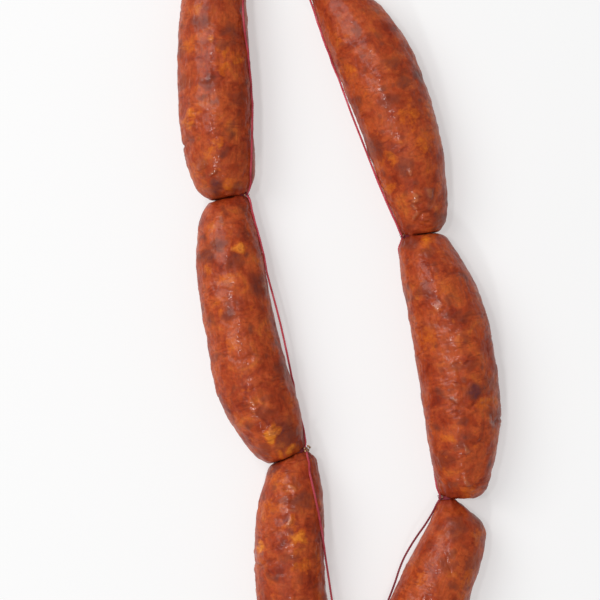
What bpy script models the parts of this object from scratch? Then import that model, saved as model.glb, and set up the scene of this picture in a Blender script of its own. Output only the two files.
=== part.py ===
"""A ring of six cured sausage links on red twine, lying on its back on a flat surface.

One long casing is filled, pinched every 120 to 130 mm and tied with twine. The twine runs
on along the inner side of every link, shorter than the links themselves, so each link bows
outwards and its ends meet the next link's in a crease. The two free ends of the casing are
tied off at the top, and the twine's own ends are knotted there into the loop it hangs by.

Units are metres, +Z is up, and the origin is under the middle of the ring, on the surface.
"""
import math
from collections import namedtuple

import bmesh
import bpy
import numpy as np
from mathutils import Vector
from mathutils.bvhtree import BVHTree

MM = 0.001

# ---------------------------------------------------------------- driving dimensions
TWINE_R = 0.55 * MM         # twine, 1.1 mm thick
NECK_R = 1.2 * MM           # casing twisted shut inside each tie
GAP = 0.3 * MM              # air between pieces that touch
ROUND = 0.95                # a link's height over its width
SQUASH = 0.5 * MM           # how far a belly flattens on the surface
SETTLE = 0.5                # how far a thin stretch sinks towards the surface
TIE_HEIGHT = 15.5 * MM      # all ties lie at about half a link's height
TIE_WIDTH = 1.6 * MM         # winding of twine in each tie
TAIL_LENGTH = 7.0 * MM      # dried casing left beyond the two end ties
LUMP = 0.35 * MM            # uneven filling under the casing

RING_SIDES = 24             # facets round a link
DOME_RINGS = 5              # rings over each end
BODY_RINGS = 9              # steps between the two ends
TIE_SIDES = 12              # facets round a tie
TIE_PROFILE_SIDES = 6       # facets across its winding

# A tie: where the string passes it, which way its crease points outwards, how deep the
# neck sits behind the string, and how links meet there. Two links press end to end, or
# hang side by side from the lowest tie, or one link ends in a tie of its own.
END_TO_END, SIDE_BY_SIDE, FREE_END = "end to end", "side by side", "free end"
Tie = namedtuple("Tie", "x y crease inset meeting")
TIES = {
    "tie_1": Tie(-50.1 * MM, 190.5 * MM, 182.0, 3.0 * MM, FREE_END),
    "tie_2": Tie(-46.2 * MM, 68.0 * MM, 192.5, 2.2 * MM, END_TO_END),
    "tie_3": Tie(-17.5 * MM, -56.4 * MM, 205.0, 2.2 * MM, END_TO_END),
    "tie_4": Tie(1.9 * MM, -187.6 * MM, 262.0, 2.2 * MM, SIDE_BY_SIDE),
    "tie_5": Tie(51.3 * MM, -79.7 * MM, 0.0, 1.4 * MM, END_TO_END),
    "tie_6": Tie(32.1 * MM, 47.6 * MM, 6.5, 2.2 * MM, END_TO_END),
    "tie_7": Tie(-15.3 * MM, 166.7 * MM, 21.0, 3.0 * MM, FREE_END),
}

# A link hangs from its head and settles into its foot. Its skin is given as the distance
# in mm from the straight string, outside and inside the ring, at five shares of the length.
# Sag is how far each end swells past its tie, and negative where the neighbour presses in.
STATIONS = (0.06, 0.25, 0.50, 0.75, 0.94)
Link = namedtuple("Link", "head foot outside inside head_sag foot_sag phase")
LINKS = {
    "link_1": Link("tie_1", "tie_2", (22.2, 27.8, 30.2, 30.3, 24.9),
                   (2.2, 3.7, 5.1, 5.8, 4.5), 1.5, 3.2, 0.4),
    "link_2": Link("tie_2", "tie_3", (24.2, 30.7, 33.9, 34.2, 26.0),
                   (1.6, 1.8, 0.9, 2.5, 1.8), 0.8, 4.2, 1.9),
    "link_3": Link("tie_3", "tie_4", (18.7, 28.5, 32.8, 32.6, 26.5),
                   (5.4, 5.3, 1.3, 0.3, -1.8), -3.0, 5.5, 3.1),
    "link_4": Link("tie_5", "tie_4", (26.0, 30.4, 33.6, 33.2, 26.9),
                   (1.0, 3.1, 3.3, 1.6, -1.8), -1.2, 5.5, 4.6),
    "link_5": Link("tie_6", "tie_5", (22.7, 31.7, 34.3, 32.4, 24.9),
                   (4.3, 4.7, 3.4, 4.1, 2.6), 0.4, 2.9, 5.2),
    "link_6": Link("tie_7", "tie_6", (24.6, 34.6, 36.5, 33.1, 25.3),
                   (0.3, 0.8, 1.1, 2.2, 1.3), 1.5, 4.9, 0.9),
}

# The twine's route beside each link, from head to foot: share of the length, distance
# in mm inside the straight string, height in mm above the surface.
ROUTE = {
    "link_1": ((0.10, 3.0, 19.0), (0.29, 2.6, 24.0), (0.45, 3.9, 22.5), (0.64, 5.3, 21.0),
               (0.80, 4.8, 23.5), (0.92, 3.6, 22.0)),
    "link_2": ((0.08, 1.3, 16.5), (0.30, 2.2, 17.0), (0.52, 3.1, 17.0), (0.68, 2.8, 15.5),
               (0.82, 2.0, 10.5), (0.93, 1.6, 12.5)),
    "link_3": ((0.07, 1.4, 22.5), (0.14, 2.3, 26.0), (0.26, 3.2, 24.5), (0.38, 3.2, 19.5),
               (0.60, 3.2, 17.0), (0.86, 2.4, 16.0)),
    "link_4": ((0.12, 2.7, 15.0), (0.21, 4.6, 14.5), (0.30, 5.6, 14.5), (0.42, 4.4, 15.0),
               (0.70, 3.2, 15.5), (0.88, 2.4, 16.0)),
    "link_5": ((0.10, 3.4, 9.5), (0.28, 3.1, 7.5), (0.50, 2.3, 7.5), (0.75, 2.4, 8.0),
               (0.92, 2.4, 11.0)),
    "link_6": ((0.08, 0.6, 16.5), (0.30, 1.4, 17.0), (0.48, 2.2, 17.5), (0.64, 2.4, 18.5),
               (0.80, 2.5, 19.0), (0.93, 1.8, 17.5)),
}
CASING_ORDER = (("link_1", False), ("link_2", False), ("link_3", False),
                ("link_4", True), ("link_5", True), ("link_6", True))

KNOT = (-33.5 * MM, 181.5 * MM, 14.6 * MM)      # where the twine's two ends are tied
KNOT_R = 1.7 * MM
TAILS = {
    "twine_tail_1": ((0.6, 1.0, 0.1), (3.5, 5.5, 0.6), (5.0, 10.5, -1.5), (7.8, 14.5, -6.0)),
    "twine_tail_2": ((-0.3, 1.1, 0.2), (-1.6, 6.0, 0.4), (-0.6, 11.0, -2.5), (-3.0, 14.0, -7.5)),
}


# ---------------------------------------------------------------- small helpers
def clear_scene():
    for obj in list(bpy.data.objects):
        bpy.data.objects.remove(obj, do_unlink=True)


def unit(angle_deg):
    """Unit vector in the ground plane."""
    angle = math.radians(angle_deg)
    return np.array((math.cos(angle), math.sin(angle), 0.0))


def smoothstep(low, high, value):
    t = np.clip((value - low) / (high - low), 0.0, 1.0)
    return t * t * (3.0 - 2.0 * t)


class SmoothLine:
    """A smooth line through a few points, read by the share that each point stands for."""

    def __init__(self, shares, points):
        self.shares = np.array(shares, float)
        self.points = np.array(points, float)
        steps = np.linalg.norm(np.diff(self.points, axis=0), axis=1)
        self.way = np.concatenate(([0.0], np.cumsum(steps)))
        slopes = np.diff(self.points, axis=0) / steps[:, None]
        before, after = steps[:-1, None], steps[1:, None]
        inner = (slopes[:-1] * after + slopes[1:] * before) / (before + after)
        self.tangents = np.vstack((slopes[:1], inner, slopes[-1:]))

    def at_way(self, way):
        i = int(np.clip(np.searchsorted(self.way, way) - 1, 0, len(self.way) - 2))
        span = self.way[i + 1] - self.way[i]
        t = (way - self.way[i]) / span
        return ((2 * t**3 - 3 * t**2 + 1) * self.points[i]
                + (t**3 - 2 * t**2 + t) * span * self.tangents[i]
                + (3 * t**2 - 2 * t**3) * self.points[i + 1]
                + (t**3 - t**2) * span * self.tangents[i + 1])

    def at(self, share):
        return self.at_way(np.interp(share, self.shares, self.way))

    def evenly(self, count):
        return [self.at_way(way) for way in np.linspace(0.0, self.way[-1], count)]


def material(name, colour, roughness):
    mat = bpy.data.materials.new(name)
    mat.use_nodes = True
    shader = mat.node_tree.nodes["Principled BSDF"]
    shader.inputs["Base Color"].default_value = (*colour, 1.0)
    shader.inputs["Roughness"].default_value = roughness
    shader.inputs["Metallic"].default_value = 0.0
    return mat


def add_object(name, mesh, mat):
    obj = bpy.data.objects.new(name, mesh)
    mesh.materials.append(mat)
    bpy.context.scene.collection.objects.link(obj)
    return obj


def skin_rings(name, rings, closed=False):
    """Skin rings of points into one closed mesh, with a flat cap on each open end."""
    bm = bmesh.new()
    loops = [[bm.verts.new(point) for point in ring] for ring in rings]
    pairs = list(zip(loops, loops[1:]))
    if closed:
        pairs.append((loops[-1], loops[0]))
    for a, b in pairs:
        for i in range(len(a)):
            j = (i + 1) % len(a)
            bm.faces.new((a[i], a[j], b[j], b[i]))
    if not closed:
        bm.faces.new(reversed(loops[0]))
        bm.faces.new(loops[-1])
    bmesh.ops.recalc_face_normals(bm, faces=bm.faces[:])
    mesh = bpy.data.meshes.new(name)
    bm.to_mesh(mesh)
    bm.free()
    mesh.shade_smooth()
    mesh.set_sharp_from_angle(angle=math.radians(50.0))
    return mesh


# ---------------------------------------------------------------- ties and their creases
def string_point(tie):
    return np.array((tie.x, tie.y, TIE_HEIGHT))


def neck_point(tie):
    """Centre of the twisted neck, a little behind the string."""
    return string_point(tie) + unit(tie.crease) * tie.inset


def tie_axis(tie, towards):
    """Unit vector through the tie, along the casing, into the link that lies towards."""
    out = unit(tie.crease)
    axis = np.array((-out[1], out[0], 0.0))
    return axis if np.dot(axis, towards - neck_point(tie)) > 0 else -axis


TIE_OUTER_R = NECK_R + GAP + 2 * TWINE_R
NOTCH_DEPTH = TIE_WIDTH / 2 + 0.35 * MM         # the skin keeps this far from the tie's middle
NOTCH_INNER_R = TIE_OUTER_R + 0.4 * MM
NOTCH_OUTER_R = 4.4 * MM
FREE_SWELL = 20.0 * MM                          # an end with no neighbour may swell freely
PRESS_SOFTNESS = 0.6 * MM
PRESS_OVERLAP = 1.0 * MM                        # an end is this much too long before it is pressed


def press(point, tie, axis):
    """Push a skin point back from the neighbour's crease and from the tie's own notch."""
    offset = point - neck_point(tie)
    along = float(np.dot(offset, axis))
    away = float(np.linalg.norm(offset - along * axis))
    floor = -FREE_SWELL if tie.meeting == FREE_END else GAP / 2
    notch = 1.0 - smoothstep(NOTCH_INNER_R, NOTCH_OUTER_R, away)
    keep = floor + (NOTCH_DEPTH - floor) * notch
    depth = along - keep
    pressed = 0.5 * (depth + math.sqrt(depth**2 + PRESS_SOFTNESS**2))
    return point + (pressed - depth) * axis


# ---------------------------------------------------------------- one link
class LinkFrame:
    """The straight string beside a link, with the way out of the ring as its side."""

    def __init__(self, link):
        self.link = link
        self.head, self.foot = TIES[link.head], TIES[link.foot]
        self.start = string_point(self.head)
        run = string_point(self.foot) - self.start
        self.length = float(np.linalg.norm(run))
        self.down = run / self.length
        side = np.array((self.down[1], -self.down[0], 0.0))
        outwards = unit(self.head.crease) + unit(self.foot.crease)
        self.out = side if np.dot(side, outwards) > 0 else -side

    def place(self, along, outside, height=TIE_HEIGHT):
        """Point at a distance down the string, outside it, at a height."""
        spot = self.start + self.down * along + self.out * outside
        return np.array((spot[0], spot[1], height))

    def middle(self):
        return self.place(self.length / 2, self.link.outside[2] * MM / 2)

    def on_crease(self, tie, distance, from_foot=False):
        """Point on a tie's crease: how far in from the link's end, and how far outside."""
        spot = neck_point(tie) + distance * unit(tie.crease) - self.start
        along = float(np.dot(spot, self.down))
        return (self.length - along if from_foot else along, float(np.dot(spot, self.out)))


def dome_points(frame, tie, station, width, sag, at_foot):
    """Outer outline over one end, from the neck's rim to the first station."""
    rim = frame.on_crease(tie, NECK_R, at_foot)
    lean = frame.on_crease(tie, 3.0 * MM, at_foot)
    belly = (-0.85 * sag, 0.38 * width)
    if tie.meeting == END_TO_END:
        reach, outside = frame.on_crease(tie, 0.38 * width, at_foot)
        belly = (max(reach, -0.85 * sag) - PRESS_OVERLAP, outside)
    shoulder = (0.33 * station - 0.6 * sag, 0.86 * width)
    points = [rim, lean, belly, (-sag, 0.62 * width), shoulder]
    if at_foot:
        points = [(frame.length - reach, outside) for reach, outside in points]
    return points


def outlines(frame):
    """The link's outer and inner outline, both read by share of the length."""
    link = frame.link
    first, last = STATIONS[0], 1.0 - STATIONS[-1]
    head_shares = [first * k / 5 for k in range(5)]
    foot_shares = [1.0 - last * k / 5 for k in range(5)]
    body = [(share * frame.length, width * MM) for share, width in zip(STATIONS, link.outside)]
    head = dome_points(frame, frame.head, first * frame.length, body[0][1],
                       link.head_sag * MM, False)
    foot = dome_points(frame, frame.foot, last * frame.length, body[-1][1],
                       link.foot_sag * MM, True)
    outer = SmoothLine(head_shares + list(STATIONS) + foot_shares[::-1],
                       head + body + foot[::-1])
    inside = [(share * frame.length, -width * MM) for share, width in zip(STATIONS, link.inside)]
    inner = SmoothLine((0.0,) + STATIONS + (1.0,),
                       [frame.on_crease(frame.head, -NECK_R)] + inside
                       + [frame.on_crease(frame.foot, -NECK_R)])
    return outer, inner


def lagging(share):
    """The inner edge leaves each tie more slowly than the outer edge, so creases stay shut."""
    first, last = STATIONS[0], 1.0 - STATIONS[-1]
    if share < first:
        return first * (share / first)**2
    if share > 1.0 - last:
        return 1.0 - last * ((1.0 - share) / last)**2
    return share


def ring_shares():
    first, last = STATIONS[0], STATIONS[-1]
    head = [first * k / DOME_RINGS for k in range(DOME_RINGS)]
    body = list(np.linspace(first, last, BODY_RINGS + 1))
    foot = [1.0 - share for share in head]
    return head + body + foot[::-1]


def neck_ring(tie, axis, distance, radius):
    """A round ring of casing across the tie's axis."""
    centre = neck_point(tie) + axis * distance
    ring = []
    for k in range(RING_SIDES):
        angle = math.tau * (k + 0.5) / RING_SIDES
        ring.append(centre + radius * (math.cos(angle) * unit(tie.crease)
                                       + math.sin(angle) * np.array((0.0, 0.0, 1.0))))
    return ring


def neck_rings(tie, axis):
    """From the crease, or from the dried tip beyond an end tie, up to the link's skin."""
    if tie.meeting == FREE_END:
        return [neck_ring(tie, axis, -TAIL_LENGTH, 1.5 * MM),
                neck_ring(tie, axis, -0.5 * TAIL_LENGTH, 2.1 * MM),
                neck_ring(tie, axis, -NOTCH_DEPTH, NECK_R)]
    return [neck_ring(tie, axis, GAP / 2, NECK_R)]


def link_rings(frame):
    """All rings of a link's skin, from its head tie to its foot tie."""
    outer, inner = outlines(frame)
    head_axis = tie_axis(frame.head, frame.middle())
    foot_axis = tie_axis(frame.foot, frame.middle())
    edges = [(outer.at(share), inner.at(lagging(share))) for share in ring_shares()]
    widths = [float(np.linalg.norm(o - i)) for o, i in edges]
    widest = max(widths)
    belly_height = ROUND * widest / 2 - SQUASH
    rings = []
    for index, ((o, i), width) in enumerate(zip(edges, widths)):
        full = smoothstep(0.05, 0.75, width / widest)
        half_height = width / 2 * (1.0 + (ROUND - 1.0) * full)
        settled = belly_height + SETTLE * (half_height - SQUASH - belly_height)
        height = TIE_HEIGHT + (settled - TIE_HEIGHT) * full
        centre = frame.place(*((o + i) / 2), height)
        across = frame.place(*o, height) - centre
        ring = []
        for k in range(RING_SIDES):
            angle = math.tau * (k + 0.5) / RING_SIDES
            wave = math.sin(2 * angle + 0.9 * index + frame.link.phase)
            wave += 0.6 * math.sin(3 * angle - 1.3 * index + 2 * frame.link.phase)
            swell = 1.0 + LUMP * full * wave / (width / 2)
            point = (centre + swell * math.cos(angle) * across
                     + np.array((0.0, 0.0, swell * math.sin(angle) * half_height)))
            point = press(point, frame.head, head_axis)
            point = press(point, frame.foot, foot_axis)
            point[2] = max(point[2], 0.0)
            ring.append(point)
        rings.append(ring)
    return (neck_rings(frame.head, head_axis) + rings
            + neck_rings(frame.foot, foot_axis)[::-1])


# ---------------------------------------------------------------- ties
def tie_mesh(name, tie):
    """The turns of twine wound tight round the neck, as one ring."""
    centre = neck_point(tie)
    out = unit(tie.crease)
    axis = np.array((-out[1], out[0], 0.0))
    up = np.array((0.0, 0.0, 1.0))
    middle_r = NECK_R + GAP + TWINE_R
    rings = []
    for k in range(TIE_SIDES):
        angle = math.tau * k / TIE_SIDES
        radial = math.cos(angle) * out + math.sin(angle) * up
        ring = []
        for j in range(TIE_PROFILE_SIDES):
            turn = math.tau * (j + 0.5) / TIE_PROFILE_SIDES
            ring.append(centre + radial * (middle_r + TWINE_R * math.sin(turn))
                        + axis * TIE_WIDTH / 2 * math.cos(turn))
        rings.append(ring)
    return skin_rings(name, rings, closed=True)


# ---------------------------------------------------------------- twine
TWINE_FINE_STEPS = 70       # points of twine beside each link before it is thinned out
TWINE_PASSES = 4            # rounds of easing the twine and lifting it off the skin
TWINE_TOLERANCE = 0.15 * MM
TWINE_CLEARANCE = TWINE_R + GAP + TWINE_TOLERANCE
TWINE_AT_TIE = TIE_OUTER_R + GAP + TWINE_R
CORE_MARGIN = 0.13          # the core line that skins are measured from stops this short of each end


def pass_tie(tie):
    """Where the twine crosses a tie, on the ring's inner side."""
    return neck_point(tie) - unit(tie.crease) * TWINE_AT_TIE


def beside_link(name, frame):
    """The twine's own points along one link, from head to foot, with the ties' at its ends."""
    points = [pass_tie(frame.head)]
    for share, inside, height in ROUTE[name]:
        points.append(frame.place(share * frame.length, -inside * MM, height * MM))
    points.append(pass_tie(frame.foot))
    return points


def lift_off(point, frame, skin):
    """Move a point away from its link's core until the twine round it clears the skin."""
    share = float(np.dot(np.array(point) - frame.start, frame.down)) / frame.length
    share = min(max(share, CORE_MARGIN), 1.0 - CORE_MARGIN)
    width = np.interp(share, STATIONS, frame.link.outside) * MM
    core = Vector(frame.place(share * frame.length, width / 2))
    way = (point - core).normalized()
    hit, normal, _, distance = skin.ray_cast(core, way)
    needed = distance + TWINE_CLEARANCE / max(0.5, normal.dot(way))
    return core + way * max(needed, (point - core).length)


def thin_out(points, tolerance):
    """Keep only the points that a line needs to stay within a tolerance (Douglas-Peucker)."""
    if len(points) < 3:
        return points
    start, end = points[0], points[-1]
    way = (end - start).normalized()
    gaps = [((p - start) - way * (p - start).dot(way)).length for p in points]
    worst = max(range(len(points)), key=gaps.__getitem__)
    if gaps[worst] <= tolerance:
        return [start, end]
    return thin_out(points[:worst + 1], tolerance)[:-1] + thin_out(points[worst:], tolerance)


def ease(points):
    """One pass of smoothing that leaves the two ends where they are."""
    inner = [0.25 * a + 0.5 * b + 0.25 * c for a, b, c in zip(points, points[1:], points[2:])]
    return [points[0]] + inner + [points[-1]]


def lay_twine(name, frame, skin):
    """A link's stretch of twine, from head to foot: eased and lifted off the skin in turn."""
    points = beside_link(name, frame)
    line = SmoothLine(np.linspace(0.0, 1.0, len(points)), points)
    route = [Vector(point) for point in line.evenly(TWINE_FINE_STEPS)]
    for _ in range(TWINE_PASSES):
        route[1:-1] = [lift_off(point, frame, skin) for point in ease(route)[1:-1]]
    return route


def twine_route(frames, skins):
    """From the hanging knot, down one side of the ring, up the other and back to the knot."""
    knot = np.array(KNOT)
    first, last = pass_tie(TIES["tie_1"]), pass_tie(TIES["tie_7"])
    start = knot + (first - knot) / np.linalg.norm(first - knot) * (KNOT_R + GAP)
    end = knot + (last - knot) / np.linalg.norm(last - knot) * (KNOT_R + GAP)
    sag = np.array((0.0, 0.0, 0.6 * MM))
    route = [start, (start + first) / 2 - sag]
    for name, upwards in CASING_ORDER:
        stretch = lay_twine(name, frames[name], skins[name])
        if upwards:
            stretch.reverse()
        route += stretch[:-1]
    route += [last, (last + end) / 2 - sag, end]
    return thin_out([Vector(point) for point in route], TWINE_TOLERANCE)


def tube_object(name, points, mat):
    """Twine as a POLY curve with a round bevel and closed ends."""
    curve = bpy.data.curves.new(name, "CURVE")
    curve.dimensions = "3D"
    curve.bevel_depth = TWINE_R
    curve.bevel_resolution = 2
    curve.use_fill_caps = True
    spline = curve.splines.new("POLY")
    spline.points.add(len(points) - 1)
    for spot, point in zip(spline.points, points):
        spot.co = (*point, 1.0)
    curve.materials.append(mat)
    obj = bpy.data.objects.new(name, curve)
    bpy.context.scene.collection.objects.link(obj)
    return obj


def knot_mesh(name):
    """The hanging knot, a small rounded lump."""
    rings = []
    for row in range(1, 8):
        polar = math.pi * row / 8
        level = KNOT[2] + 0.85 * KNOT_R * math.cos(polar)
        radius = KNOT_R * math.sin(polar)
        rings.append([(KNOT[0] + radius * math.cos(math.tau * k / 12),
                       KNOT[1] + radius * math.sin(math.tau * k / 12), level)
                      for k in range(12)])
    return skin_rings(name, rings)


# ---------------------------------------------------------------- the ring
def build():
    clear_scene()
    meat = material("cured_sausage_casing", (0.34, 0.075, 0.032), 0.42)
    string = material("red_twine", (0.36, 0.045, 0.075), 0.8)
    frames, skins = {}, {}
    for name, link in LINKS.items():
        frames[name] = LinkFrame(link)
        obj = add_object(name, skin_rings(name, link_rings(frames[name])), meat)
        skin = bmesh.new()
        skin.from_mesh(obj.data)
        skins[name] = BVHTree.FromBMesh(skin)
        skin.free()
    for name, tie in TIES.items():
        add_object(name, tie_mesh(name, tie), string)
    tube_object("twine", twine_route(frames, skins), string)
    add_object("hanging_knot", knot_mesh("hanging_knot"), string)
    for name, steps in TAILS.items():
        points = [np.array(KNOT) + np.array(step) * MM for step in steps]
        away = (points[1] - np.array(KNOT)) / np.linalg.norm(points[1] - np.array(KNOT))
        points[0] = np.array(KNOT) + away * (KNOT_R + GAP)
        tube_object(name, SmoothLine(np.linspace(0, 1, len(points)), points).evenly(7), string)


build()
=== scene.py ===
# %% [markdown]
# # A ring of cured sausage links
#
# A butcher fills one long casing with coarsely minced, paprika-red meat, pinches it shut
# every 12 or 13 cm and ties each pinch with twine. The twine runs on beside the links and is
# shorter than they are, so every link bows outwards and presses against its neighbours in a
# dark crease. Then the ring hangs to dry: the casing shrinks onto the lumps of fat and lean,
# and its surface turns from wet to a quiet, slightly greasy shine.
#
# The solids of the part are smooth and plain. This lesson keeps their places and sizes, and
# makes the surfaces: skin with relief, mottled meat under it, and twine made of real strands.

# %% Load the fixed frame
import math
from collections import namedtuple

import bmesh
import bpy
import numpy as np
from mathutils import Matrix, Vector
from mathutils.bvhtree import BVHTree


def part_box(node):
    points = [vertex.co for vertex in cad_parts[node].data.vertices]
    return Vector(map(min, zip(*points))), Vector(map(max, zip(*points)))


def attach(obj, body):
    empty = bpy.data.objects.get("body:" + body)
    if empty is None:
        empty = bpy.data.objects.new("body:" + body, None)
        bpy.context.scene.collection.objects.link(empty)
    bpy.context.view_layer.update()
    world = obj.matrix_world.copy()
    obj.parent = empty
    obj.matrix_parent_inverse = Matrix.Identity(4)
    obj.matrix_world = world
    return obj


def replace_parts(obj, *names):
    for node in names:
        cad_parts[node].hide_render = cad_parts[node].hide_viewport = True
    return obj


MM = 0.001
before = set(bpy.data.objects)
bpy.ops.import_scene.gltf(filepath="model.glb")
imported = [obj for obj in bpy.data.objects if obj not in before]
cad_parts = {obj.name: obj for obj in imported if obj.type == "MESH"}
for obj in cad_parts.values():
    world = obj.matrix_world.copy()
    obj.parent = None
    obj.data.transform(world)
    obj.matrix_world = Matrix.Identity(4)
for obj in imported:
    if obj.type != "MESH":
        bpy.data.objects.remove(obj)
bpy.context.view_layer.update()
print("frame nodes:", ", ".join(sorted(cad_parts)))

# %% [markdown]
# ## The camera
#
# The ring lies on a white table and is looked at from straight above. A long lens far away
# keeps the links' rounded sides from leaning outwards. The view takes in most of the ring:
# the two top links and the two bottom ones run out of it.

# %% Camera
VIEW_WIDTH = 291.6 * MM         # what the view takes in, at half a link's height
VIEW_CENTRE = Vector((-18.95 * MM, 16.5 * MM, 17.0 * MM))
LENS = 130.0                    # mm, on a sensor 36 mm wide

camera_data = bpy.data.cameras.new("camera")
camera_data.lens = LENS
camera_data.sensor_width = 36.0
camera_height = VIEW_WIDTH * LENS / camera_data.sensor_width
camera_data.clip_start = 0.01
camera_data.clip_end = 20.0
camera = bpy.data.objects.new("camera", camera_data)
camera.location = VIEW_CENTRE + Vector((0.0, 0.0, camera_height))
bpy.context.scene.collection.objects.link(camera)
bpy.context.scene.camera = camera
print(f"camera looks down from {camera_height:.2f} m")

# %% [markdown]
# ## Small helpers
#
# Colours are written as the hex values that a colour picker gives, and one function turns
# them into the linear values that Blender computes with. One more function adds any node to
# any tree. It fills the node's inputs with plain values, or links another node to them.


# %% Colours and nodes
def colour(hex_code):
    """sRGB hex to linear RGBA."""
    channels = [int(hex_code[i:i + 2], 16) / 255 for i in (1, 3, 5)]
    linear = [c / 12.92 if c <= 0.04045 else ((c + 0.055) / 1.055)**2.4 for c in channels]
    return (*linear, 1.0)


def fill(tree, node, sockets):
    """Fill a node's inputs, from a dict or in order, with values, outputs or whole nodes."""
    pairs = sockets.items() if isinstance(sockets, dict) else enumerate(sockets)
    for key, value in pairs:
        if isinstance(value, bpy.types.Node):
            value = value.outputs[0]
        if isinstance(value, bpy.types.NodeSocket):
            tree.links.new(value, node.inputs[key])
        else:
            node.inputs[key].default_value = value


def add(tree, kind, sockets=(), **settings):
    """Add a node to a tree, with its settings and its inputs."""
    node = tree.nodes.new(kind)
    for key, value in settings.items():
        setattr(node, key, value)
    fill(tree, node, sockets)
    return node


def new_material(name):
    """A material with nodes; returns it with its tree and its Principled shader."""
    material = bpy.data.materials.new(name)
    material.use_nodes = True
    return material, material.node_tree, material.node_tree.nodes["Principled BSDF"]


print("brick red #a03b17 is", [round(c, 3) for c in colour("#a03b17")[:3]], "in linear values")

# %% [markdown]
# Geometry Nodes trees are built by the script too. A tree starts with its named inputs and
# ends in plain geometry with a material. `grow` runs it on an object: it sets the inputs by
# their identifiers, lets Blender evaluate the object once, keeps the result as a plain mesh
# and takes the modifier off again.


# %% Geometry Nodes helpers
def new_tree(name, inputs):
    """An empty Geometry Nodes tree and the outputs of its named inputs."""
    tree = bpy.data.node_groups.new(name, "GeometryNodeTree")
    for label, kind in {"Geometry": "Geometry", **inputs, "Material": "Material"}.items():
        tree.interface.new_socket(label, in_out="INPUT", socket_type=f"NodeSocket{kind}")
    tree.interface.new_socket("Geometry", in_out="OUTPUT", socket_type="NodeSocketGeometry")
    return tree, add(tree, "NodeGroupInput").outputs


def close_tree(tree, inputs, geometry):
    """End a tree: smooth shading, real geometry for every instance, and the material."""
    smooth = add(tree, "GeometryNodeSetShadeSmooth", {"Geometry": geometry})
    solid = add(tree, "GeometryNodeRealizeInstances", {"Geometry": smooth})
    dressed = add(tree, "GeometryNodeSetMaterial", {"Geometry": solid,
                                                    "Material": inputs["Material"]})
    add(tree, "NodeGroupOutput", (dressed,))
    print("tree", tree.name, "with", len(tree.nodes), "nodes")
    return tree


def keep_evaluated(obj):
    """Swap an object's mesh for what its modifiers make of it, and drop the modifiers."""
    depsgraph = bpy.context.evaluated_depsgraph_get()
    mesh = bpy.data.meshes.new_from_object(obj.evaluated_get(depsgraph), depsgraph=depsgraph)
    obj.modifiers.clear()
    obj.data = mesh
    mesh.name = obj.name
    return obj


def grow(obj, tree, values):
    """Run a tree on an object and keep the result as a plain mesh."""
    modifier = obj.modifiers.new(tree.name, "NODES")
    modifier.node_group = tree
    for item in tree.interface.items_tree:
        if item.in_out == "INPUT" and item.name in values:
            modifier[item.identifier] = values[item.name]
    return keep_evaluated(obj)


def mesh_object(name, points, edges=(), faces=()):
    """A new mesh object at the origin, with its place in its points."""
    mesh = bpy.data.meshes.new(name)
    mesh.from_pydata([tuple(p) for p in points], list(edges), list(faces))
    obj = bpy.data.objects.new(name, mesh)
    bpy.context.scene.collection.objects.link(obj)
    return obj


# %% [markdown]
# ## The casing, seen as a material
#
# The skin is a natural casing: hog gut, dried to a thin clear film over minced pork. What
# the eye reads as the sausage's colour is the meat behind it, stained by paprika oil. Coarse
# lean shows as dull purple-brown, back fat as yellow to orange spots, and the paste between
# them as brick red. The film itself gives a soft shine with small bright glints.

# %% Minced meat behind the skin
LUMP = 6.5 * MM                 # a usual lump of the coarse mince
PASTE_GRAIN = 1.7 * MM          # the finer mince between the lumps
MIDDLE = {"From Min": 0.3, "From Max": 0.7}     # most of a noise's values lie between these
LEAN_STOPS = ((0.15, "#7c3820", 0.0), (0.50, "#743320", 0.50), (0.80, "#683024", 0.72),
              (1.00, "#56282c", 0.85))
FAT_STOPS = ((0.15, "#bb5014", 0.0), (0.45, "#c65c14", 0.5), (0.72, "#d06c18", 0.7),
             (1.00, "#e08224", 0.88))
PASTE_STOPS = ((0.28, "#85280d", 1.0), (0.43, "#a03b17", 1.0), (0.57, "#b34c21", 1.0),
               (0.74, "#c56225", 1.0))


def set_stops(ramp, stops):
    """Fill a colour ramp; each stop is (position, hex colour, how much it covers)."""
    ramp.color_ramp.interpolation = "EASE"
    elements = ramp.color_ramp.elements
    while len(elements) < len(stops):
        elements.new(0.5)
    for element, (position, hex_code, cover) in zip(elements, stops):
        element.position = position
        element.color = (*colour(hex_code)[:3], cover)
    return ramp.outputs


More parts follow.
